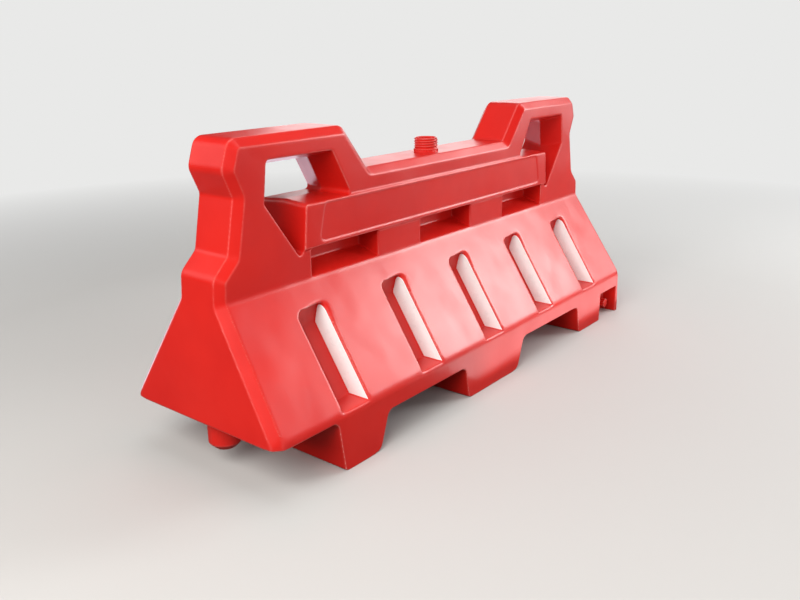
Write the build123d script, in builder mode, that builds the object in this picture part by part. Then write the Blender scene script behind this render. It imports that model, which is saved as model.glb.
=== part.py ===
"""Water-filled road barrier: a hollow moulded body with its neck, reflectors and drain.

X runs along the barrier, -Y is the front and Z is up. The origin is on the floor, under the
middle of the base. Sizes are in millimetres.
"""

import os
from math import atan2, cos, degrees, hypot, radians, sin, sqrt, tan

from build123d import *

# Base
base_length = 1500  # end to end, at the height of the overhang
base_width = 440  # front to back over the lip
foot_height = 84  # floor to the underside between the feet, clear for fork tines
overhang_height = 116  # floor to the underside of the end that carries the peg
lip_height = 13  # from there up to the foot of the slope
slope_rise = 237  # foot of the slope up to the crease below the upper wall
end_lean = 4.2  # lean of the end faces, degrees
skin = 6  # moulded wall
edge_chamfer = 17  # round the ends and along the top
corner_softness = 9  # how much a corner's radius exceeds the chamfer that runs round it
lip_run = 2.5  # how far the round over the lip reaches down past the tank's floor
crease_radius = 20

# Feet
overhang_length = 185  # end of the base to the first foot
first_foot_width = 112  # on the floor
middle_foot_width = 230
last_foot_length = 277  # from the end of the base
toe_draft = 18  # how far a foot's left side leans out on its way up
heel_draft = 28  # and its right side
toe_radius = 8
heel_radius = 26
channel_radius = 18

# Upper wall
wall_thickness = 130
undercut_height = 64  # crease to the underside of the rail
rail_height = 93
opening_height = 101  # rail to the underside of the handle's bar
bar_height = 46
saddle_rise = 50  # rail to the top between the handles
shoulder_rise = 49  # crease to where the end steps in
shoulder_step = 37  # height of that step
waist_inset_bottom = 60  # end of the base to the narrow part below the handle
waist_inset_top = 82
waist_drop = 110  # top of the handle down to the narrowest place
head_drop = 58  # top of the handle down to its widest place
head_inset_bottom = 60
head_inset_top = 80
arm_inset_top = 386  # end of the base to the slanted arm's outer line
arm_inset_bottom = 464
waist_radius = 12

# Handle openings, measured from the end of the base
opening_inner_top = 341
opening_inner_bottom = 398
opening_outer_top = 157
opening_outer = 146
opening_outer_drop = 84  # top of the opening down to its widest place
rail_end = 254
tip_inset = 243
tip_drop = 26  # underside of the rail down to the opening's lower tip
grip_draft = 18  # how far the grip's walls close in at the mid plane
ledge_draft = 5  # the same for the ledge and the slanted side of the tip
grip_softness = 3  # how much a corner's radius exceeds the skin

# Rail, label panels and the pockets below
rail_proud = 5
panel_end = 34  # end of the rail to the panel's lower corner
panel_slant = 20
panel_margin_bottom = 8
panel_margin_top = 3
panel_depth = 2
panel_radius = 14
pocket_width = 216
pocket_end = 12  # end of the rail to the outer pocket
pocket_lift = 2  # crease to the pocket's sill
pocket_rise = 19  # how much the floor climbs towards the back
web = 10  # wall between the front and the back pocket

# Reflector pockets down the slope
reflector_count = 5
reflector_end = 224  # end of the base to the outer reflector pocket's middle
niche_width = 80
niche_lift = 1  # foot of the slope to the pocket's sill
niche_depth = 58  # front to back at the sill
niche_back_rise = 142  # foot of the slope to the top of the pocket's back wall
niche_rise = 189  # foot of the slope to the pocket's ceiling
crown_depth = 20  # front to back at the ceiling
niche_radius = 20  # at the ceiling's corner away from the plate
reflector_thickness = 1.5
reflector_margin = 1.5
mouth_margin = 3.5  # plate to the pocket's mouth
ceiling_margin = 5  # plate to the pocket's ceiling
reflector_radius = 26  # at the plate's upper front corner

# Coupling peg, and the tongue with its socket
peg_inset = 59  # end of the base to the peg's axis
peg_diameter = 70
peg_length = 74
peg_nose = 14
socket_clearance = 4
coupling_gap = 10  # overhang to the tongue of the next barrier
tongue_width = 180
tongue_chamfer = 5

# Filler neck
neck_diameter = 60  # over the coarse thread
neck_bore = 48
neck_height = 35
collar_height = 8  # plain foot of the neck, below the thread
collar_step = 1  # how far the collar stands out past the thread
neck_flange_width = 10
neck_flange = 5

# Drain
notch_length = 114
notch_wall = 25  # end wall left beside the notch
notch_depth = 45
drain_inset = 60  # end of the base to the plug's axis
drain_height = 32
plug_diameter = 20
plug_length = 24
head_diameter = 28
head_length = 20
grip_count = 6
grip_radius = 5
bush_wall = 5
bush_flange_width = 5
bush_flange = 4
bush_length = 16
seal_thickness = 3
thread_clearance = 0.06
seal_clearance = 0.3
seat_clearance = 0.1

overlap = 12  # how far a cut or a join runs past the face that it goes through

half_length = base_length / 2
half_width = base_width / 2
half_wall = wall_thickness / 2
lip_top = overhang_height + lip_height
slope_top = lip_top + slope_rise
slope_angle = degrees(atan2(slope_rise, half_width - half_wall))
rail_bottom = slope_top + undercut_height
rail_top = rail_bottom + rail_height
opening_top = rail_top + opening_height
total_height = opening_top + bar_height
saddle_height = rail_top + saddle_rise
shoulder_height = slope_top + shoulder_rise
corner_radius = edge_chamfer + corner_softness
lip_radius = (lip_height - skin + lip_run) / tan(radians(90 - slope_angle) / 2)
rail_half_length = half_length - rail_end
rail_face = half_wall + rail_proud
reflector_pitch = 2 * (half_length - reflector_end) / (reflector_count - 1)
niche_sill = lip_top + niche_lift
niche_top = lip_top + niche_rise
niche_back_top = lip_top + niche_back_rise
socket_x = half_length + peg_inset
socket_diameter = peg_diameter + 2 * socket_clearance
tongue_height = overhang_height - coupling_gap
drain_x = half_length - drain_inset
notch_back = half_width - notch_depth
bush_diameter = plug_diameter + 2 * thread_clearance + 2 * bush_wall
neck_base = saddle_height - skin - neck_flange
collar_diameter = neck_diameter + 2 * collar_step

drain_plane = Plane((drain_x, -notch_back, drain_height), x_dir=(1, 0, 0), z_dir=(0, -1, 0))
neck_plane = Plane.XY.offset(neck_base)
slope_plane = Plane(
    (0, -half_width, lip_top),
    x_dir=(1, 0, 0),
    z_dir=(0, -sin(radians(slope_angle)), cos(radians(slope_angle))),
)


def end_x(height):
    """Distance from the middle to the leaning end face at a height."""
    return half_length - (height - overhang_height) * tan(radians(end_lean))


def slope_y(height):
    """Distance from the mid plane to the slope at a height."""
    return half_width - (height - lip_top) / tan(radians(slope_angle))


def outline(plane, corners, inset=0):
    """Sketch of straight runs, each corner rounded by its own radius, drawn in by an inset."""
    with BuildSketch(plane) as sketch:
        with BuildLine():
            points = [(across, up) for across, up, _ in corners]
            FilletPolyline(*points, radius=[radius for _, _, radius in corners], close=True)
        make_face()
        if inset:
            offset(amount=-inset, kind=Kind.INTERSECTION)
    return sketch.sketch


def mirrored(corners):
    """The same corners on the other side, in reverse order."""
    return [(-across, up, radius) for across, up, radius in reversed(corners)]


def moved_sides(points, insets):
    """Corners of an anticlockwise polygon once each side has moved in by its own inset."""
    sides = []
    for (x1, z1), (x2, z2), inset in zip(points, points[1:] + points[:1], insets):
        run = hypot(x2 - x1, z2 - z1)
        across, up = (z1 - z2) / run, (x2 - x1) / run
        sides.append((across, up, across * x1 + up * z1 + inset))
    moved = []
    for (a1, b1, c1), (a2, b2, c2) in zip(sides[-1:] + sides[:-1], sides):
        cross = a1 * b2 - a2 * b1
        moved.append(((c1 * b2 - c2 * b1) / cross, (a1 * c2 - a2 * c1) / cross))
    return moved


def upper_outline():
    """Right half of the side view, from the shoulder up over the handle to the saddle."""
    return [
        (end_x(shoulder_height), shoulder_height, corner_radius),
        (half_length - waist_inset_bottom, shoulder_height + shoulder_step, waist_radius),
        (half_length - waist_inset_top, total_height - waist_drop, waist_radius),
        (half_length - head_inset_bottom, total_height - head_drop, corner_radius),
        (half_length - head_inset_top, total_height, corner_radius),
        (half_length - arm_inset_top, total_height, corner_radius),
        (half_length - arm_inset_bottom, saddle_height, waist_radius),
    ]


def underside_outline(plain=False):
    """Underside of the side view, from the left end over three feet to the right end.

    The plain one keeps sharp corners where the space inside needs no round.
    """
    channel = 0 if plain else channel_radius
    toe = 0 if plain else toe_radius
    first_left = -half_length + overhang_length
    first_right = first_left + first_foot_width
    middle_right = middle_foot_width / 2
    last_left = half_length - last_foot_length
    return [
        (-end_x(overhang_height), overhang_height, 0),
        (first_left - toe_draft, overhang_height, channel),
        (first_left, 0, toe),
        (first_right, 0, heel_radius),
        (first_right + heel_draft, foot_height, channel),
        (-middle_right - toe_draft, foot_height, channel),
        (-middle_right, 0, toe),
        (middle_right, 0, heel_radius),
        (middle_right + heel_draft, foot_height, channel),
        (last_left - toe_draft, foot_height, channel),
        (last_left, 0, toe),
        (end_x(0), 0, 0),
    ]


def section_outline():
    """Right half of the cross-section: lip, slope and upper wall."""
    return [
        (half_width, 0, 0),
        (half_width, lip_top, lip_radius),
        (half_wall, slope_top, crease_radius),
        (half_wall, total_height, 0),
    ]


def envelope(inset=0):
    """Outer form of the moulding, or the same form inset all round for the space inside."""
    upper = upper_outline()
    side = underside_outline(plain=bool(inset)) + upper + mirrored(upper)
    section = section_outline()
    with BuildPart() as form:
        extrude(outline(Plane.XZ, side, inset), amount=half_width - inset, both=True)
        extrude(
            outline(Plane.YZ, section + mirrored(section), inset),
            amount=base_length,
            both=True,
            mode=Mode.INTERSECT,
        )
        front_and_back = form.faces().filter_by(lambda face: abs(face.normal_at().Y) > 0.1)
        ends_and_top = (form.faces() - front_and_back).filter_by(
            lambda face: face.center().Z > lip_top
        )
        rim = front_and_back.edges() & ends_and_top.edges()
        chamfer(rim.sort_by(Axis.X), edge_chamfer - inset * (2 - sqrt(2)))
    return form.part


def handle_openings(grow=0):
    """Both handle openings, drafted from each face to the mid plane, or grown for the space inside."""
    face_points = [
        (half_length - opening_inner_top, opening_top),
        (half_length - opening_inner_bottom, rail_top),
        (rail_half_length, rail_top),
        (half_length - tip_inset, rail_bottom - tip_drop),
        (half_length - opening_outer, opening_top - opening_outer_drop),
        (half_length - opening_outer_top, opening_top),
    ]
    drafts = [grip_draft, ledge_draft, 0, ledge_draft, grip_draft, grip_draft]
    hollow = 0 if grow else skin + grip_softness
    ridge = skin + grip_softness - grow
    radii = [hollow, hollow, ridge, hollow, hollow, hollow]

    def drawn(plane, insets):
        points = moved_sides(face_points, [inset - grow for inset in insets])
        return outline(plane, [(*point, radius) for point, radius in zip(points, radii)])

    mouth = drawn(Plane.XZ.offset(half_wall), [0] * len(drafts))
    throat = drawn(Plane.XZ, drafts)
    with BuildPart() as cut:
        loft(sections=[mouth, throat], ruled=True)
        extrude(mouth, amount=rail_proud + overlap)
        mirror(about=Plane.XZ)
        mirror(about=Plane.YZ)
    return cut.part


def rail_pockets(grow=0):
    """Pockets under the rail on both sides, with floors that climb towards the middle."""
    sill = slope_top + pocket_lift
    mouth = rail_face + overlap
    slope = pocket_rise / (half_wall - web / 2)
    pitch = rail_half_length - pocket_end - pocket_width / 2
    with BuildPart() as cut:
        with BuildSketch(Plane.YZ):
            with BuildLine():
                Polyline(
                    (-mouth, sill - slope * (mouth - half_wall)),
                    (-web / 2, sill + pocket_rise),
                    (-web / 2, rail_bottom),
                    (-mouth, rail_bottom),
                    close=True,
                )
            make_face()
            if grow:
                offset(amount=grow, kind=Kind.INTERSECTION)
        extrude(amount=pocket_width / 2 + grow, both=True)
    with BuildPart() as row:
        with GridLocations(pitch, 0, 3, 1):
            add(cut.part)
        mirror(about=Plane.XZ)
    return row.part


def niche_side():
    """Side view of a reflector pocket on the front, from its sill round to its mouth."""
    return [
        (-slope_y(niche_sill), niche_sill),
        (-slope_y(niche_sill) + niche_depth, niche_sill),
        (-slope_y(niche_back_top) + niche_depth, niche_back_top),
        (-slope_y(niche_top) + crown_depth, niche_top),
        (-slope_y(niche_top), niche_top),
    ]


def niche(grow=0):
    """One reflector pocket in the middle of the front slope."""
    half = niche_width / 2 + grow
    mouth_top = (niche_rise + grow) / sin(radians(slope_angle))
    mouth = [
        (-half, -overlap, 0),
        (half, -overlap, 0),
        (half, mouth_top, 0),
        (-half, mouth_top, 0 if grow else niche_radius),
    ]
    insets = [-grow, -grow, -grow, -overlap, -niche_depth]
    with BuildPart() as cut:
        with BuildSketch(Plane.YZ):
            with BuildLine():
                Polyline(*moved_sides(niche_side(), insets), close=True)
            make_face()
        extrude(amount=niche_width, both=True)
        extrude(
            outline(slope_plane, mouth),
            amount=2 * niche_depth,
            dir=(0, 1, 0),
            both=True,
            mode=Mode.INTERSECT,
        )
    return cut.part


def niches(grow=0):
    """Reflector pockets along the front, and the same row turned half round on the back."""
    with BuildPart() as row:
        with GridLocations(reflector_pitch, 0, reflector_count, 1):
            add(niche(grow))
    with BuildPart() as rows:
        add(row.part)
        add(row.part, rotation=(0, 0, 180))
    return rows.part


def drain_notch(grow=0):
    """Notch at the front of the last foot, open below, that the drain plug sits in."""
    middle = half_length - notch_wall - notch_length / 2
    with BuildPart() as cut:
        with BuildSketch(Plane.XZ.offset(notch_back - grow)):
            with Locations((middle, 0)):
                Rectangle(notch_length + 2 * grow, 2 * (foot_height + grow))
        extrude(amount=notch_depth + grow + overlap)
    return cut.part


def tongue(inset=0):
    """Low tongue at the right end that carries the socket for the next barrier's peg."""
    root = half_length - notch_wall - overlap
    with BuildPart() as block:
        with BuildSketch(Plane.XY.offset(inset)):
            with Locations((socket_x, 0)):
                Circle(tongue_width / 2)
                Rectangle(socket_x - root, tongue_width, align=(Align.MAX, Align.CENTER))
            if inset:
                offset(amount=-inset)
        extrude(amount=tongue_height - 2 * inset)
        if not inset:
            chamfer(block.faces().sort_by(Axis.Z)[-1].edges(), tongue_chamfer)
    return block.part


def peg(inset=0):
    """Coupling peg below the overhang, tapered at its nose, or the hollow in it above the nose."""
    floor = peg_nose if inset else 0
    with BuildPart() as pin:
        with BuildSketch(Plane.XY.offset(overhang_height - peg_length + floor)):
            with Locations((peg_inset - half_length, 0)):
                Circle(peg_diameter / 2 - inset)
        extrude(amount=peg_length + overlap - floor)
        if not inset:
            chamfer(pin.edges().sort_by(Axis.Z)[0], peg_nose)
    return pin.part


def socket(grow=0):
    """Round hole through the tongue."""
    with BuildPart() as hole:
        with BuildSketch(Plane.XY):
            with Locations((socket_x, 0)):
                Circle(socket_diameter / 2 + grow)
        extrude(amount=tongue_height + overlap, both=True)
    return hole.part


# Space inside the body, one skin in from every wall
with BuildPart() as tank:
    add(envelope(skin))
    add(tongue(skin))
    add(peg(skin))
    for cutter in (handle_openings, rail_pockets, niches, drain_notch, socket):
        add(cutter(skin), mode=Mode.SUBTRACT)

with BuildPart() as barrier_body:
    add(envelope())
    add(tongue())
    add(peg())
    with Locations((0, 0, (rail_bottom + rail_top) / 2)):
        Box(2 * (half_length - tip_inset), 2 * rail_face, rail_height)
    for cutter in (handle_openings, rail_pockets, niches, drain_notch, socket):
        add(cutter(), mode=Mode.SUBTRACT)
    panel_bottom = rail_half_length - panel_end
    panel_half = [
        (panel_bottom, rail_bottom + panel_margin_bottom, panel_radius),
        (panel_bottom - panel_slant, rail_top - panel_margin_top, panel_radius),
    ]
    panel = outline(Plane.XZ.offset(rail_face - panel_depth), panel_half + mirrored(panel_half))
    panel_cut = extrude(panel, amount=panel_depth + overlap, mode=Mode.SUBTRACT)
    mirror(panel_cut, about=Plane.XZ, mode=Mode.SUBTRACT)
    add(tank.part, mode=Mode.SUBTRACT)
    with Locations(neck_plane):
        Cylinder(collar_diameter / 2 + seat_clearance, neck_height, mode=Mode.SUBTRACT)
    with Locations(drain_plane):
        Cylinder(bush_diameter / 2 + seat_clearance, 2 * (skin + overlap), mode=Mode.SUBTRACT)

# Threaded spout on a plain collar, held by a flange under the skin
with BuildPart() as filler_neck:
    with BuildSketch(neck_plane):
        Circle(collar_diameter / 2 + neck_flange_width)
    extrude(amount=neck_flange)
    with BuildSketch(neck_plane):
        Circle(collar_diameter / 2)
    extrude(amount=neck_flange + skin + collar_height)
    with BuildSketch(neck_plane):
        Circle(neck_diameter / 2)
    extrude(amount=neck_flange + skin + neck_height)
    with Locations(neck_plane):
        Hole(neck_bore / 2)

# Plates on the pocket walls that face oncoming traffic, short of the rounded corner above
with BuildPart() as reflector:
    plate_insets = [reflector_margin] * 3 + [ceiling_margin, mouth_margin]
    plate_radii = [0, 0, 0, 0, reflector_radius]
    plate_corners = moved_sides(niche_side(), plate_insets)
    plate = [(*corner, radius) for corner, radius in zip(plate_corners, plate_radii)]
    extrude(
        outline(Plane.YZ.offset(niche_width / 2 - reflector_thickness), plate),
        amount=reflector_thickness,
    )

# Flanged bush in the back wall of the notch
with BuildPart() as drain_bush:
    with BuildSketch(drain_plane):
        Circle(bush_diameter / 2 + bush_flange_width)
    extrude(amount=bush_flange)
    with BuildSketch(drain_plane):
        Circle(bush_diameter / 2)
    extrude(amount=-bush_length)
    with Locations(drain_plane):
        Cylinder(plug_diameter / 2 + thread_clearance, 2 * (bush_length + overlap), mode=Mode.SUBTRACT)

# Flat ring between the bush and the plug's head
with BuildPart() as drain_seal:
    with BuildSketch(drain_plane.offset(bush_flange + seat_clearance)):
        Circle(head_diameter / 2)
        Circle(plug_diameter / 2 + seal_clearance, mode=Mode.SUBTRACT)
    extrude(amount=seal_thickness)

# Plug: a threaded shank with a scalloped head to grip
with BuildPart() as drain_plug:
    head_plane = drain_plane.offset(bush_flange + seal_thickness + 2 * seat_clearance)
    with BuildSketch(head_plane):
        Circle(head_diameter / 2)
        with PolarLocations(head_diameter / 2 + grip_radius / 2, grip_count):
            Circle(grip_radius, mode=Mode.SUBTRACT)
    extrude(amount=head_length)
    with BuildSketch(head_plane):
        Circle(plug_diameter / 2)
    extrude(amount=-plug_length)

pieces = {
    "barrier_body": barrier_body.part,
    "filler_neck": filler_neck.part,
    "drain_bush": drain_bush.part,
    "drain_seal": drain_seal.part,
    "drain_plug": drain_plug.part,
}
for number in range(reflector_count):
    place = Pos((number - (reflector_count - 1) / 2) * reflector_pitch, 0, 0)
    pieces[f"reflector_front_{number + 1}"] = place * reflector.part
    pieces[f"reflector_back_{number + 1}"] = Rot(0, 0, 180) * place * reflector.part

os.makedirs("parts", exist_ok=True)
for name, piece in pieces.items():
    piece.label = name
    export_step(piece, f"parts/{name}.step")
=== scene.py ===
"""Looks of a water-filled road barrier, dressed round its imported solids.

X runs along the barrier, -Y is the front and Z is up. Lengths are in metres.
"""

from math import copysign, cos, pi, radians, sin

import bmesh
import bpy
import numpy as np
from mathutils import Matrix, Vector


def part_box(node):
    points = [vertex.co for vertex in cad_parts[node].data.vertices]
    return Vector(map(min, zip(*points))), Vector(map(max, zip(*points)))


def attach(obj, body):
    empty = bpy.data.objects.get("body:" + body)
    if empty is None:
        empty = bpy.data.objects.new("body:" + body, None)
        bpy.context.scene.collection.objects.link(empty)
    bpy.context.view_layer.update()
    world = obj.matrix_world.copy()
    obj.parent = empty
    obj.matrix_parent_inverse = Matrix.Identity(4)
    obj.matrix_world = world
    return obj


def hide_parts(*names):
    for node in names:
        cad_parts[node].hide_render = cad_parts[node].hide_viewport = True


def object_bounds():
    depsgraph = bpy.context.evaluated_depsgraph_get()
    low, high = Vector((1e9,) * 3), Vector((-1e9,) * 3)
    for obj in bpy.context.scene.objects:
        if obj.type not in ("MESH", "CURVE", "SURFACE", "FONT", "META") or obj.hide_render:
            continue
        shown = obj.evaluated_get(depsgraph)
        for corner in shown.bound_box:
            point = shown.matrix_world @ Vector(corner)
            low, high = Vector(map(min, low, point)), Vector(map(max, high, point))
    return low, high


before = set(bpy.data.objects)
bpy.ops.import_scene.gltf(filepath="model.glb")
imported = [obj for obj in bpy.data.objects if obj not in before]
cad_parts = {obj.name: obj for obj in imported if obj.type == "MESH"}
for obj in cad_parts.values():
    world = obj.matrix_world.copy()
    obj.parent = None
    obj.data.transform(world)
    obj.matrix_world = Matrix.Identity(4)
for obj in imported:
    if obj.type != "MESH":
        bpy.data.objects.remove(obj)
cad_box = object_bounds()

mm = 0.001
up = Vector((0, 0, 1))
inward = Vector((0, 1, 0))  # from the front into the barrier
reflectors = [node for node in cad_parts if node.startswith("reflector")]

# Camera, solved from the barrier's own straight edges in an 800 by 600 picture
picture_width = 800
focal_pixels = 804.45
sensor_width = 36.0
camera_place = (-1.63375, -1.21763, 0.83481)
camera_azimuth = -51.377
camera_elevation = 17.795
camera_roll = -0.543

# Studio
floor_radius = 60
floor_tone = "#C6C5C3"
bounce_tone = "#5C5A58"  # what the floor throws back on the barrier
backdrop_tone = "#E9E9E8"
fade_start = 1.4  # from here outwards the floor fades into the backdrop
fade_end = 3.6
world_tone = "#EEF0F4"
world_light = 0.1
key_tone = "#FFFCF7"
card_tone = "#F2EDFF"

# Ways of making a mesh
weld = 0.01 * mm  # points closer than this are joined
near = 0.2 * mm  # how far a point may lie from the rim that it belongs to
shortest_edge = 0.001 * mm
soften_share = 0.5  # how far a point moves towards its neighbours' middle in one step
soft_levels = 4  # of strength, from the edge of a rounded place to its middle
round_sides = 96
flat_angle = radians(1)  # faces that meet flatter than this are joined
bevel_angle = radians(40)  # edges sharper than this are bevelled
bevel_segments = 3

# Moulded shell
shell_voxel = 2.2 * mm
shell_soften = 4
shell_triangles = 190000
rub_and_highlight_radius = 2.5 * mm  # a corner as sharp as this is painted fully pale, as rubbed wear and as a painted highlight
fitting_radius = 1 * mm  # the same on the small fittings
sill_height = 130 * mm  # front edge of the reflector pockets' sills, which is rounded over
sill_front = 219 * mm
sill_reach = 14 * mm
pocket_top = 318 * mm  # upper corner of each reflector pocket's mouth, over the plate, rounded over
pocket_front = 96.4 * mm
pocket_reach = 44 * mm
overhang_height = 116 * mm  # lower corners of the left end, which are rounded over
corner_reach = 36 * mm
round_steps = 40
pocket_steps = 100

# Screw ridge, in shares of its depth and its pitch
ridge_sunk = 0.5  # of the depth, below the root
ridge_foot = 0.4  # of the pitch, to each side
ridge_top = 0.12
ridge_end = 0.05  # of its full size, where it has run out
helix_steps = 72  # in each turn

# Filler neck
saddle_height = 573 * mm
neck_hole = 31.1 * mm  # in the body, round the neck
neck_bore = 24 * mm
neck_crest = 30 * mm
neck_collar = 30.6 * mm
neck_chamfer = 1.2 * mm
collar_height = 8 * mm
neck_pitch = 6 * mm
neck_thread = 2.3 * mm  # crest to root
neck_turns = 3.9
neck_run_out = 0.35  # of a turn, at each end
neck_flange = 5 * mm
well_depth = 130 * mm
rib_count = 30
rib_width = 2.6 * mm
rib_proud = 0.9 * mm
neck_voxel = 0.55 * mm
neck_soften = 2
neck_triangles = 70000

# Drain
notch_back = -175 * mm
drain_hole = 15.16 * mm  # in the body, round the bush
drain_depth = 40 * mm
plug_crest = 10 * mm
plug_pitch = 4 * mm
plug_thread = 1.2 * mm  # crest to root
plug_turns = 5
plug_run_out = 0.4  # of a turn, at each end
plug_nose = 2 * mm
head_length = 20 * mm
shank_overlap = 2 * mm  # of the shank into the head
plug_voxel = 0.35 * mm
plug_soften = 3
plug_triangles = 40000
bush_bevel = 0.6 * mm
seal_bevel = 1 * mm

# Reflectors
plate_bevel = 0.5 * mm

# Finishes: their colours, and the sizes of their patterns
fresh_red = "#D4221A"
dull_red = "#CB1C16"
# Pale pink for sharp edges: rubbed wear and a painted highlight
rub_and_highlight_pink = "#F8C4BC"
tone_size = 160 * mm
gloss_size = 80 * mm
rub_and_highlight_size = 45 * mm
speck_size = 7 * mm
wave_size = 120 * mm
wave_depth = 1 * mm
grit_size = 5 * mm
grit_depth = 0.04 * mm
# Both whites are tinted a little blue-green to offset the pink light that the red pockets throw on the
# plates: a painted counter to bounced light
clean_white = "#F3FEFF"
dusty_white = "#E9F2F1"
dust_size = 60 * mm
smear_size = 20 * mm
bead_size = 2.5 * mm
bead_depth = 0.025 * mm
rubber_black = "#141414"
bloom_grey = "#262524"
bloom_size = 6 * mm
rubber_grain = 4 * mm

# Colour sockets of a Mix node, and the part of its range that a noise mostly keeps to
first_colour, second_colour, mixed_colour = 6, 7, 2
cloud_low, cloud_high = 0.35, 0.65


def linear(code):
    """Linear colour of an sRGB hex code, with full alpha."""
    channels = [int(code[place:place + 2], 16) / 255 for place in (1, 3, 5)]
    return [c / 12.92 if c <= 0.04045 else ((c + 0.055) / 1.055) ** 2.4 for c in channels] + [1.0]


def add_node(tree, kind, inputs=None, **settings):
    """Add a node: settings are its properties, and an input is a value or another node's output."""
    node = tree.nodes.new(kind)
    for name, value in settings.items():
        setattr(node, name, value)
    for socket, source in (inputs or {}).items():
        if isinstance(source, bpy.types.NodeSocket):
            tree.links.new(source, node.inputs[socket])
        else:
            node.inputs[socket].default_value = source
    return node


def new_piece(name, mesh):
    """Object at the origin that shows a mesh."""
    if isinstance(mesh, bmesh.types.BMesh):
        data = bpy.data.meshes.new(name)
        mesh.to_mesh(data)
        mesh.free()
        mesh = data
    piece = bpy.data.objects.new(name, mesh)
    bpy.context.scene.collection.objects.link(piece)
    return piece


def evaluated_mesh(piece):
    """Mesh of a piece as its modifiers leave it."""
    graph = bpy.context.evaluated_depsgraph_get()
    return bpy.data.meshes.new_from_object(piece.evaluated_get(graph))


def settled(piece):
    """Turn a piece's modifiers into its mesh."""
    mesh = evaluated_mesh(piece)
    piece.modifiers.clear()
    piece.data = mesh
    return piece


def merged_copy(node):
    """Mesh in hand of a solid, with its loose triangles joined."""
    mesh = bmesh.new()
    mesh.from_mesh(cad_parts[node].data)
    bmesh.ops.remove_doubles(mesh, verts=mesh.verts, dist=weld)
    return mesh


def middle(node):
    """Centre of a solid's box."""
    low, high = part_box(node)
    return (Vector(low) + Vector(high)) / 2


def points(mesh):
    """Places of a mesh's points, one row each."""
    place = np.empty(3 * len(mesh.vertices))
    mesh.vertices.foreach_get("co", place)
    return place.reshape(-1, 3)


def welded(piece, size, steps):
    """Weld a piece's shapes into one skin and take the sharpness off its edges."""
    remesh = piece.modifiers.new("weld", "REMESH")
    remesh.mode = "VOXEL"
    remesh.voxel_size = size
    soften = piece.modifiers.new("soften", "SMOOTH")
    soften.factor = soften_share
    soften.iterations = steps
    return settled(piece)


def round_over(piece, away, reach, steps):
    """Round a piece further where its points lie within reach of a place, most at the place itself."""
    group = piece.vertex_groups.new(name="round_over")
    for level in range(1, soft_levels + 1):
        inside = np.flatnonzero(np.ceil(soft_levels * (1 - away / reach)) == level)
        group.add(inside.tolist(), level / soft_levels, "REPLACE")
    soften = piece.modifiers.new("round_over", "SMOOTH")
    soften.factor = soften_share
    soften.iterations = steps
    soften.vertex_group = group.name
    settled(piece)
    piece.vertex_groups.clear()


def thinned(piece, triangles):
    """Thin a piece to a number of triangles."""
    thin = piece.modifiers.new("thin", "DECIMATE")
    thin.ratio = min(1.0, triangles / (2 * len(piece.data.polygons)))
    settled(piece)
    piece.data.shade_smooth()
    return piece


def mark_edges(piece, full_radius):
    """Store on each point how sharply it stands out, up to 1 at a corner of the full radius."""
    mesh = piece.data
    count = len(mesh.vertices)
    place = points(mesh)
    normal = np.empty(3 * count)
    mesh.vertex_normals.foreach_get("vector", normal)
    normal = normal.reshape(-1, 3)
    ends = np.empty(2 * len(mesh.edges), dtype=np.int32)
    mesh.edges.foreach_get("vertices", ends)
    first, second = ends[0::2], ends[1::2]
    step = place[second] - place[first]
    square = np.maximum((step ** 2).sum(axis=1), shortest_edge ** 2)
    bend = np.zeros(count)
    np.add.at(bend, first, -2 * (normal[first] * step).sum(axis=1) / square)
    np.add.at(bend, second, 2 * (normal[second] * step).sum(axis=1) / square)
    bend /= np.maximum(np.bincount(ends, minlength=count), 1)
    marks = mesh.attributes.new("edge", "FLOAT", "POINT")
    marks.data.foreach_set("value", np.clip(bend * full_radius, 0, 1).astype(np.float32))


def finish_piece(piece, node, body, material):
    """Give a piece its material and its body, and hide the solid that it stands for."""
    piece.data.materials.clear()
    piece.data.materials.append(material)
    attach(piece, body)
    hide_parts(node)


def ring_edges(mesh, centre, axis, radius):
    """Edges of a mesh that run round a circle."""
    def on_circle(vert):
        across = vert.co - centre
        return abs(across.dot(axis)) < near and abs(across.length - radius) < near
    return [edge for edge in mesh.edges if all(on_circle(vert) for vert in edge.verts)]


def keep_outside(mesh, rims):
    """Keep only the faces reached from the outside without crossing a rim."""
    blocked = {edge for rim in rims for edge in rim}
    start = max(mesh.faces, key=lambda face: face.calc_center_median().x)
    reached = {start}
    waiting = [start]
    while waiting:
        for edge in waiting.pop().edges:
            if edge in blocked:
                continue
            for face in edge.link_faces:
                if face not in reached:
                    reached.add(face)
                    waiting.append(face)
    inside = [face for face in mesh.faces if face not in reached]
    bmesh.ops.delete(mesh, geom=inside, context="FACES")


def sink_well(mesh, rim, axis, bore, depth):
    """Close a rim in to a bore and sink it, so that the hole reads as open and deep."""
    centre = sum((v.co for e in rim for v in e.verts), Vector()) / (2 * len(rim))
    for sink in (0, depth):
        added = bmesh.ops.extrude_edge_only(mesh, edges=rim)["geom"]
        rim = [part for part in added if isinstance(part, bmesh.types.BMEdge)]
        for vert in {v for e in rim for v in e.verts}:
            across = vert.co - centre
            across -= axis * across.dot(axis)
            vert.co = centre + across.normalized() * bore + axis * sink
    bmesh.ops.contextual_create(mesh, geom=rim)


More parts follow.
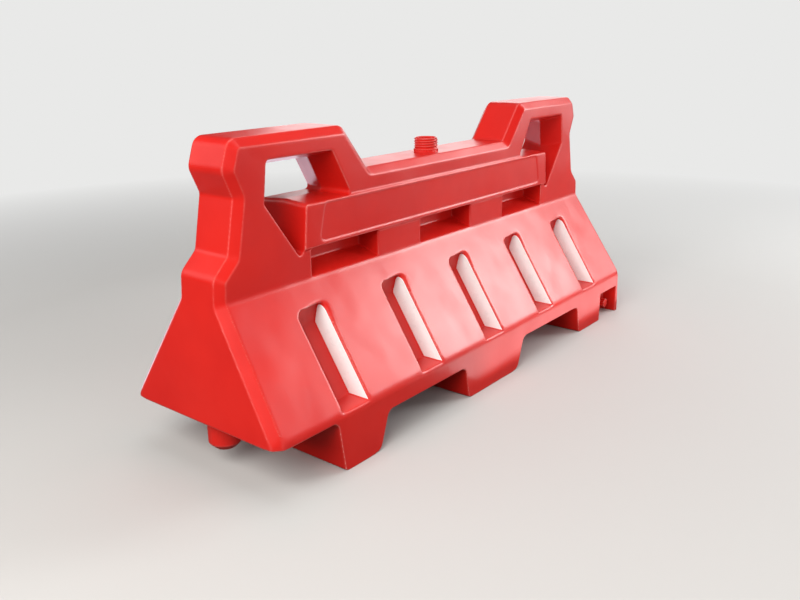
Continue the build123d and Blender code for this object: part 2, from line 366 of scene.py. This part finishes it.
def barrier_shell(material):
    """Outer skin of the body, its corners softened as the mould leaves them."""
    mesh = merged_copy("barrier_body")
    neck_place = middle("filler_neck")
    drain_place = middle("drain_bush")
    neck_place.z = saddle_height
    drain_place.y = notch_back
    neck_rim = ring_edges(mesh, neck_place, up, neck_hole)
    drain_rim = ring_edges(mesh, drain_place, inward, drain_hole)
    keep_outside(mesh, [neck_rim, drain_rim])
    sink_well(mesh, neck_rim, -up, neck_bore, well_depth)
    sink_well(mesh, drain_rim, inward, plug_crest, drain_depth)
    bmesh.ops.recalc_face_normals(mesh, faces=mesh.faces)
    shell = welded(new_piece("barrier_shell", mesh), shell_voxel, shell_soften)
    place = points(shell.data)
    plates = [middle(node) for node in reflectors]
    corners = [(plate.x, copysign(pocket_front, plate.y), pocket_top) for plate in plates]
    to_pocket = np.min([np.linalg.norm(place - corner, axis=1) for corner in corners], axis=0)
    round_over(shell, to_pocket, pocket_reach, pocket_steps)
    # The sills and the end's corners are alike on the front and the back
    place[:, 1] = np.abs(place[:, 1])
    to_sill = np.hypot(place[:, 1] - sill_front, place[:, 2] - sill_height)
    round_over(shell, to_sill, sill_reach, round_steps)
    to_corner = np.linalg.norm(place - (cad_box[0][0], cad_box[1][1], overhang_height), axis=1)
    round_over(shell, to_corner, corner_reach, round_steps)
    thinned(shell, shell_triangles)
    # How sharp each point is, for the pale edges: rubbed wear and a painted highlight
    mark_edges(shell, rub_and_highlight_radius)
    finish_piece(shell, "barrier_body", "body", material)


def lathe(profile):
    """Closed ring mesh that turns a profile of radius and height pairs round Z."""
    mesh = bmesh.new()
    verts = [mesh.verts.new((radius, 0, height)) for radius, height in profile]
    edges = [mesh.edges.new(pair) for pair in zip(verts, verts[1:] + verts[:1])]
    bmesh.ops.spin(
        mesh,
        geom=verts + edges,
        cent=(0, 0, 0),
        axis=up,
        angle=2 * pi,
        steps=round_sides,
        use_merge=True,
    )
    bmesh.ops.remove_doubles(mesh, verts=mesh.verts, dist=weld)
    bmesh.ops.recalc_face_normals(mesh, faces=mesh.faces)
    return mesh


def input_tree(name, sizes, counts=()):
    """Empty geometry tree with inputs for sizes, counts and a material; returns it with its ends."""
    tree = bpy.data.node_groups.new(name, "GeometryNodeTree")
    kinds = {size: "NodeSocketFloat" for size in sizes}
    kinds |= {count: "NodeSocketInt" for count in counts}
    kinds["Material"] = "NodeSocketMaterial"
    for socket, kind in kinds.items():
        tree.interface.new_socket(socket, in_out="INPUT", socket_type=kind)
    tree.interface.new_socket("Geometry", in_out="OUTPUT", socket_type="NodeSocketGeometry")
    return tree, tree.nodes.new("NodeGroupInput"), tree.nodes.new("NodeGroupOutput")


def end_tree(tree, source, given, out):
    """Close a geometry tree: real copies, with the material that was asked for."""
    real = add_node(tree, "GeometryNodeRealizeInstances", {"Geometry": source})
    dressed = add_node(tree, "GeometryNodeSetMaterial", {
        "Geometry": real.outputs["Geometry"],
        "Material": given.outputs["Material"],
    })
    tree.links.new(dressed.outputs["Geometry"], out.inputs["Geometry"])


def thread_tree():
    """Screw ridge: a flat-topped profile swept up a right-handed helix, run out at both ends."""
    tree, given, out = input_tree("thread_ridge", ("Root", "Depth", "Pitch", "Turns", "Fade"))
    size = given.outputs
    turns = size["Turns"]
    rise = add_node(tree, "ShaderNodeMath", {0: size["Pitch"], 1: turns}, operation="MULTIPLY")
    helix = add_node(tree, "GeometryNodeCurveSpiral", {
        "Resolution": helix_steps,
        "Rotations": turns,
        "Start Radius": size["Root"],
        "End Radius": size["Root"],
        "Height": rise.outputs[0],
        "Reverse": True,
    })
    level = add_node(tree, "GeometryNodeSetCurveNormal", {
        "Curve": helix.outputs["Curve"],
    }, mode="Z_UP")
    flat_top = add_node(tree, "GeometryNodeCurvePrimitiveQuadrilateral", {
        "Point 1": (-ridge_sunk, -ridge_foot, 0),
        "Point 2": (1, -ridge_top, 0),
        "Point 3": (1, ridge_top, 0),
        "Point 4": (-ridge_sunk, ridge_foot, 0),
    }, mode="POINTS")
    stretch = add_node(tree, "ShaderNodeCombineXYZ", {
        "X": size["Depth"],
        "Y": size["Pitch"],
        "Z": 1.0,
    })
    profile = add_node(tree, "GeometryNodeTransform", {
        "Geometry": flat_top.outputs["Curve"],
        "Scale": stretch.outputs["Vector"],
    })
    along = add_node(tree, "GeometryNodeSplineParameter").outputs["Factor"]
    turned = add_node(tree, "ShaderNodeMath", {0: along, 1: turns}, operation="MULTIPLY").outputs[0]
    left = add_node(tree, "ShaderNodeMath", {0: turns, 1: turned}, operation="SUBTRACT").outputs[0]
    to_end = add_node(tree, "ShaderNodeMath", {0: turned, 1: left}, operation="MINIMUM").outputs[0]
    swell = add_node(tree, "ShaderNodeMapRange", {
        "Value": to_end,
        "From Max": size["Fade"],
        "To Min": ridge_end,
    })
    ridge = add_node(tree, "GeometryNodeCurveToMesh", {
        "Curve": level.outputs["Curve"],
        "Profile Curve": profile.outputs["Geometry"],
        "Scale": swell.outputs["Result"],
        "Fill Caps": True,
    })
    end_tree(tree, ridge.outputs["Mesh"], given, out)
    return tree


def rib_tree():
    """Ring of upright ribs that stand out from a round wall."""
    tree, given, out = input_tree("rib_ring", ("Radius", "Width", "Deep", "Tall"), ("Count",))
    size = given.outputs
    ring = add_node(tree, "GeometryNodeMeshCircle", {
        "Vertices": size["Count"],
        "Radius": size["Radius"],
    })
    block = add_node(tree, "ShaderNodeCombineXYZ", {
        "X": size["Deep"],
        "Y": size["Width"],
        "Z": size["Tall"],
    })
    rib = add_node(tree, "GeometryNodeMeshCube", {"Size": block.outputs["Vector"]})
    outwards = add_node(tree, "GeometryNodeInputPosition").outputs["Position"]
    facing = add_node(tree, "FunctionNodeAlignRotationToVector", {"Vector": outwards}, axis="X")
    copies = add_node(tree, "GeometryNodeInstanceOnPoints", {
        "Points": ring.outputs["Mesh"],
        "Instance": rib.outputs["Mesh"],
        "Rotation": facing.outputs["Rotation"],
    })
    end_tree(tree, copies.outputs["Instances"], given, out)
    return tree


def tree_mesh(tree, values):
    """Mesh in hand that a geometry tree makes from named values."""
    seed = new_piece(tree.name, bpy.data.meshes.new(tree.name))
    maker = seed.modifiers.new(tree.name, "NODES")
    maker.node_group = tree
    for socket in tree.interface.items_tree:
        if socket.in_out == "INPUT":
            maker[socket.identifier] = values[socket.name]
    data = evaluated_mesh(seed)
    bpy.data.objects.remove(seed)
    mesh = bmesh.new()
    mesh.from_mesh(data)
    bpy.data.meshes.remove(data)
    bmesh.ops.recalc_face_normals(mesh, faces=mesh.faces)
    return mesh


def join_in(mesh, other, place):
    """Add another mesh to one in hand, moved by a matrix."""
    bmesh.ops.transform(other, matrix=place, verts=other.verts)
    data = bpy.data.meshes.new("joined")
    other.to_mesh(data)
    other.free()
    mesh.from_mesh(data)
    bpy.data.meshes.remove(data)


def filler_neck(threads, ribs, material):
    """Spout with a coarse cap thread over a ribbed collar, and its flange below the skin."""
    low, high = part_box("filler_neck")
    foot, top = low[2], high[2]
    flange_radius = (high[0] - low[0]) / 2
    root = neck_crest - neck_thread
    thread_foot = saddle_height + collar_height
    collar_core = neck_collar - rib_proud
    mesh = lathe([
        (neck_bore, foot),
        (flange_radius, foot),
        (flange_radius, foot + neck_flange),
        (neck_collar, foot + neck_flange),
        (neck_collar, saddle_height + neck_chamfer),
        (collar_core, saddle_height + 2 * neck_chamfer),
        (collar_core, thread_foot - neck_chamfer),
        (neck_collar, thread_foot - neck_chamfer),
        (neck_collar, thread_foot),
        (root, thread_foot + neck_chamfer),
        (root, top - neck_chamfer),
        (root - neck_chamfer, top),
        (neck_bore + neck_chamfer, top),
        (neck_bore, top - neck_chamfer),
    ])
    ridge = tree_mesh(threads, {
        "Root": root,
        "Depth": neck_thread,
        "Pitch": neck_pitch,
        "Turns": neck_turns,
        "Fade": neck_run_out,
        "Material": material,
    })
    join_in(mesh, ridge, Matrix.Translation((0, 0, thread_foot + neck_pitch / 2)))
    ring = tree_mesh(ribs, {
        "Radius": collar_core,
        "Width": rib_width,
        "Deep": 2 * rib_proud,
        "Tall": collar_height - neck_chamfer,
        "Count": rib_count,
        "Material": material,
    })
    join_in(mesh, ring, Matrix.Translation((0, 0, saddle_height + collar_height / 2)))
    neck = welded(new_piece("neck_spout", mesh), neck_voxel, neck_soften)
    thinned(neck, neck_triangles)
    mark_edges(neck, fitting_radius)
    finish_piece(neck, "filler_neck", "body", material)


def drain_plug(threads, material):
    """Plug with its scalloped head and the thread down its shank."""
    low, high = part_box("drain_plug")
    seat = low[1] + head_length
    head = merged_copy("drain_plug")
    bmesh.ops.bisect_plane(
        head,
        geom=head.verts[:] + head.edges[:] + head.faces[:],
        plane_co=(0, seat - near, 0),
        plane_no=inward,
        clear_outer=True,
    )
    bmesh.ops.holes_fill(head, edges=head.edges)
    root = plug_crest - plug_thread
    length = high[1] - seat
    shank = lathe([
        (0, -shank_overlap),
        (root, -shank_overlap),
        (root, length - plug_nose),
        (root - plug_nose, length),
        (0, length),
    ])
    ridge = tree_mesh(threads, {
        "Root": root,
        "Depth": plug_thread,
        "Pitch": plug_pitch,
        "Turns": plug_turns,
        "Fade": plug_run_out,
        "Material": material,
    })
    centre = middle("drain_plug")
    lay = Matrix.Translation((centre.x, seat, centre.z)) @ Matrix.Rotation(-pi / 2, 4, "X")
    join_in(head, shank, lay)
    join_in(head, ridge, lay @ Matrix.Translation((0, 0, plug_pitch / 2)))
    plug = welded(new_piece("plug_screw", head), plug_voxel, plug_soften)
    thinned(plug, plug_triangles)
    mark_edges(plug, fitting_radius)
    finish_piece(plug, "drain_plug", "plug", material)


def bevelled(node, body, width, material):
    """Copy of a solid with its edges rounded over."""
    mesh = merged_copy(node)
    bmesh.ops.dissolve_limit(mesh, angle_limit=flat_angle, verts=mesh.verts, edges=mesh.edges)
    piece = new_piece(node + "_dressed", mesh)
    bevel = piece.modifiers.new("bevel", "BEVEL")
    bevel.width = width
    bevel.segments = bevel_segments
    bevel.limit_method = "ANGLE"
    bevel.angle_limit = bevel_angle
    settled(piece)
    piece.data.shade_smooth()
    even = piece.modifiers.new("even", "WEIGHTED_NORMAL")
    even.keep_sharp = True
    settled(piece)
    finish_piece(piece, node, body, material)


def new_material(name, slot=None):
    """Material with its tree and main shader, for one of the record's material slots."""
    material = bpy.data.materials.new(name)
    material.use_nodes = True
    material["slot"] = slot or name
    return material, material.node_tree, material.node_tree.nodes["Principled BSDF"]


def patches(tree, size, low=0.0, high=1.0, detail=3.0):
    """Soft patches of about a real size that run between two values; returns their output."""
    place = add_node(tree, "ShaderNodeTexCoord").outputs["Object"]
    cloud = add_node(tree, "ShaderNodeTexNoise", {
        "Vector": place,
        "Scale": 1 / size,
        "Detail": detail,
    })
    spread = add_node(tree, "ShaderNodeMapRange", {
        "Value": cloud.outputs["Fac"],
        "From Min": cloud_low,
        "From Max": cloud_high,
        "To Min": low,
        "To Max": high,
    })
    return spread.outputs["Result"]


def red_polyethylene():
    """Rotationally moulded polyethylene: semi-gloss, uneven in tone, pale on sharp edges as rubbed
    wear and as a painted highlight.
    """
    material, tree, shader = new_material("red_polyethylene")
    moulded = add_node(tree, "ShaderNodeMix", {
        "Factor": patches(tree, tone_size, detail=4),
        first_colour: linear(fresh_red),
        second_colour: linear(dull_red),
    }, data_type="RGBA")
    edge = add_node(tree, "ShaderNodeAttribute", attribute_name="edge").outputs["Fac"]
    # Sharp edges are painted pale, partly as rubbed wear and partly as a painted highlight; flat
    # places are spared, and the pale is broken up along each edge
    sharp = add_node(tree, "ShaderNodeMath", {0: edge, 1: 1.5}, operation="POWER")
    rub_and_highlight_mask = add_node(tree, "ShaderNodeMath", {
        0: sharp.outputs[0],
        1: patches(tree, rub_and_highlight_size, low=0.5, high=0.9),
    }, operation="MULTIPLY")
    speckled_rub_and_highlight = add_node(tree, "ShaderNodeMath", {
        0: rub_and_highlight_mask.outputs[0],
        1: patches(tree, speck_size, low=0.6, high=1.1),
    }, operation="MULTIPLY")
    worn_and_highlit = add_node(tree, "ShaderNodeMix", {
        "Factor": speckled_rub_and_highlight.outputs[0],
        first_colour: moulded.outputs[mixed_colour],
        second_colour: linear(rub_and_highlight_pink),
    }, data_type="RGBA")
    # The walls cool unevenly and stay a little wavy
    wavy = add_node(tree, "ShaderNodeBump", {
        "Height": patches(tree, wave_size, detail=1),
        "Distance": wave_depth,
    })
    # The mould's grit is finer than a millimetre, and is drawn coarser so that it shows
    skin = add_node(tree, "ShaderNodeBump", {
        "Height": patches(tree, grit_size, detail=2),
        "Distance": grit_depth,
        "Strength": 0.4,
        "Normal": wavy.outputs["Normal"],
    })
    gloss = patches(tree, gloss_size, low=0.30, high=0.35)
    tree.links.new(worn_and_highlit.outputs[mixed_colour], shader.inputs["Base Color"])
    tree.links.new(gloss, shader.inputs["Roughness"])
    tree.links.new(skin.outputs["Normal"], shader.inputs["Normal"])
    shader.inputs["IOR"].default_value = 1.54
    return material


def reflective_sheet():
    """White retroreflective sheet: bright and clean, with a bead grain and a little road dust."""
    material, tree, shader = new_material("reflective_sheet", "reflective_white")
    dusted = add_node(tree, "ShaderNodeMix", {
        "Factor": patches(tree, dust_size, low=0, high=0.4, detail=5),
        first_colour: linear(clean_white),
        second_colour: linear(dusty_white),
    }, data_type="RGBA")
    # Beads are a tenth of a millimetre wide, and are drawn coarser so that they show
    grain = add_node(tree, "ShaderNodeBump", {
        "Height": patches(tree, bead_size, detail=1),
        "Distance": bead_depth,
        "Strength": 0.5,
    })
    gloss = patches(tree, smear_size, low=0.25, high=0.38)
    tree.links.new(dusted.outputs[mixed_colour], shader.inputs["Base Color"])
    tree.links.new(gloss, shader.inputs["Roughness"])
    tree.links.new(grain.outputs["Normal"], shader.inputs["Normal"])
    return material


def black_rubber():
    """Moulded sealing rubber: matt, nearly black, with a dusty bloom."""
    material, tree, shader = new_material("black_rubber")
    bloomed = add_node(tree, "ShaderNodeMix", {
        "Factor": patches(tree, bloom_size, detail=4),
        first_colour: linear(rubber_black),
        second_colour: linear(bloom_grey),
    }, data_type="RGBA")
    gloss = patches(tree, rubber_grain, low=0.6, high=0.75)
    tree.links.new(bloomed.outputs[mixed_colour], shader.inputs["Base Color"])
    tree.links.new(gloss, shader.inputs["Roughness"])
    return material


def studio_floor():
    """Pale painted floor that fades into the backdrop's own tone far from the barrier."""
    material, tree, shader = new_material("studio_floor")
    seen = add_node(tree, "ShaderNodeLightPath").outputs["Is Camera Ray"]
    paint = add_node(tree, "ShaderNodeMix", {
        "Factor": seen,
        first_colour: linear(bounce_tone),
        second_colour: linear(floor_tone),
    }, data_type="RGBA")
    tree.links.new(paint.outputs[mixed_colour], shader.inputs["Base Color"])
    shader.inputs["Roughness"].default_value = 0.7
    shader.inputs["Specular IOR Level"].default_value = 0.2
    place = add_node(tree, "ShaderNodeTexCoord").outputs["Object"]
    away = add_node(tree, "ShaderNodeVectorMath", {0: place}, operation="LENGTH")
    fade = add_node(tree, "ShaderNodeMapRange", {
        "Value": away.outputs["Value"],
        "From Min": fade_start,
        "From Max": fade_end,
    })
    far = add_node(tree, "ShaderNodeMath", {
        0: fade.outputs["Result"],
        1: seen,
    }, operation="MULTIPLY")
    glow = add_node(tree, "ShaderNodeEmission", {"Color": linear(backdrop_tone)})
    ground = add_node(tree, "ShaderNodeMixShader", {
        0: far.outputs[0],
        1: shader.outputs["BSDF"],
        2: glow.outputs["Emission"],
    })
    tree.links.new(ground.outputs["Shader"], tree.nodes["Material Output"].inputs["Surface"])
    return material


def add_floor():
    """Floor disc out to the horizon."""
    mesh = bmesh.new()
    bmesh.ops.create_circle(mesh, cap_ends=True, segments=round_sides, radius=floor_radius)
    floor = new_piece("floor", mesh)
    floor.data.materials.append(studio_floor())


def add_world():
    """World that lights softly and looks as pale as the backdrop to the camera."""
    world = bpy.data.worlds.new("studio")
    bpy.context.scene.world = world
    world.use_nodes = True
    tree = world.node_tree
    seen = add_node(tree, "ShaderNodeLightPath").outputs["Is Camera Ray"]
    shade = tree.nodes["Background"]
    shade.inputs["Color"].default_value = linear(world_tone)
    shade.inputs["Strength"].default_value = world_light
    pale = add_node(tree, "ShaderNodeBackground", {"Color": linear(backdrop_tone)})
    sky = add_node(tree, "ShaderNodeMixShader", {
        0: seen,
        1: shade.outputs["Background"],
        2: pale.outputs["Background"],
    })
    tree.links.new(sky.outputs["Shader"], tree.nodes["World Output"].inputs["Surface"])


def add_camera():
    """Camera at the photograph's place and angle."""
    azimuth = radians(camera_azimuth)
    elevation = radians(camera_elevation)
    back = Vector((sin(azimuth) * cos(elevation), -cos(azimuth) * cos(elevation), sin(elevation)))
    right = Vector((cos(azimuth), sin(azimuth), 0))
    turn = Matrix((right, back.cross(right), back)).transposed()
    turn = turn @ Matrix.Rotation(radians(camera_roll), 3, "Z")
    lens = bpy.data.cameras.new("camera")
    lens.sensor_width = sensor_width
    lens.lens = sensor_width * focal_pixels / picture_width
    camera = bpy.data.objects.new("camera", lens)
    camera.matrix_world = Matrix.Translation(camera_place) @ turn.to_4x4()
    bpy.context.scene.collection.objects.link(camera)
    bpy.context.scene.camera = camera


def add_softbox(name, place, aim, size, power, tone="#FFFFFF", glossy=True):
    """Soft light at a place, turned to a point, that the camera doesn't see."""
    lamp = bpy.data.lights.new(name, "AREA")
    lamp.shape = "RECTANGLE"
    lamp.size, lamp.size_y = size
    lamp.energy = power
    lamp.color = linear(tone)[:3]
    box = bpy.data.objects.new(name, lamp)
    turn = (Vector(place) - Vector(aim)).to_track_quat("Z", "Y").to_matrix().to_4x4()
    box.matrix_world = Matrix.Translation(place) @ turn
    box.visible_camera = False
    box.visible_glossy = glossy
    bpy.context.scene.collection.objects.link(box)


# Studio, with soft lights round the barrier and two cards on the floor that shine up
bpy.context.scene.view_settings.view_transform = "Standard"
add_camera()
add_floor()
add_world()
heart = middle("barrier_body")
add_softbox("right_front", (3.0, -2.15, 1.6), heart, size=(1.4, 1.2), power=70)
add_softbox("low_strip", (3.0, -1.9, 0.5), heart, size=(2.2, 0.5), power=9)
add_softbox("back_right", (3.6, 2.4, 1.7), heart, size=(3.0, 2.0), power=37)
add_softbox(
    "left_key", (-3.2, -0.8, 2.4), heart, size=(2.8, 2.4), power=162, tone=key_tone, glossy=False
)
add_softbox("left_glint", (-3.2, -0.3, 1.0), heart, size=(1.6, 1.2), power=7)
add_softbox("back_left", (-2.6, 2.4, 2.0), heart, size=(2.0, 2.0), power=14)
add_softbox("overhead", (0, 0, 4.3), heart, size=(3.0, 3.0), power=45)
add_softbox("chamfer_glint", (2.8, -0.9, 2.4), heart, size=(1.0, 0.8), power=18)
add_softbox("front_fill", (-0.3, -3.4, 1.0), heart, size=(3.0, 1.6), power=32, glossy=False)
add_softbox("feet_card", (0.6, -0.35, 0.02), (0.6, -0.35, 1), size=(1.3, 0.2), power=1.6)
add_softbox("back_card", (0.35, 1.1, 0.03), (0.35, 1.1, 1), size=(2.0, 1.4), power=20, tone=card_tone)

# Barrier
red = red_polyethylene()
sheet = reflective_sheet()
threads = thread_tree()
barrier_shell(red)
filler_neck(threads, rib_tree(), red)
drain_plug(threads, red)
for node in reflectors:
    bevelled(node, "body", plate_bevel, sheet)
bevelled("drain_bush", "body", bush_bevel, red)
bevelled("drain_seal", "seal", seal_bevel, black_rubber())
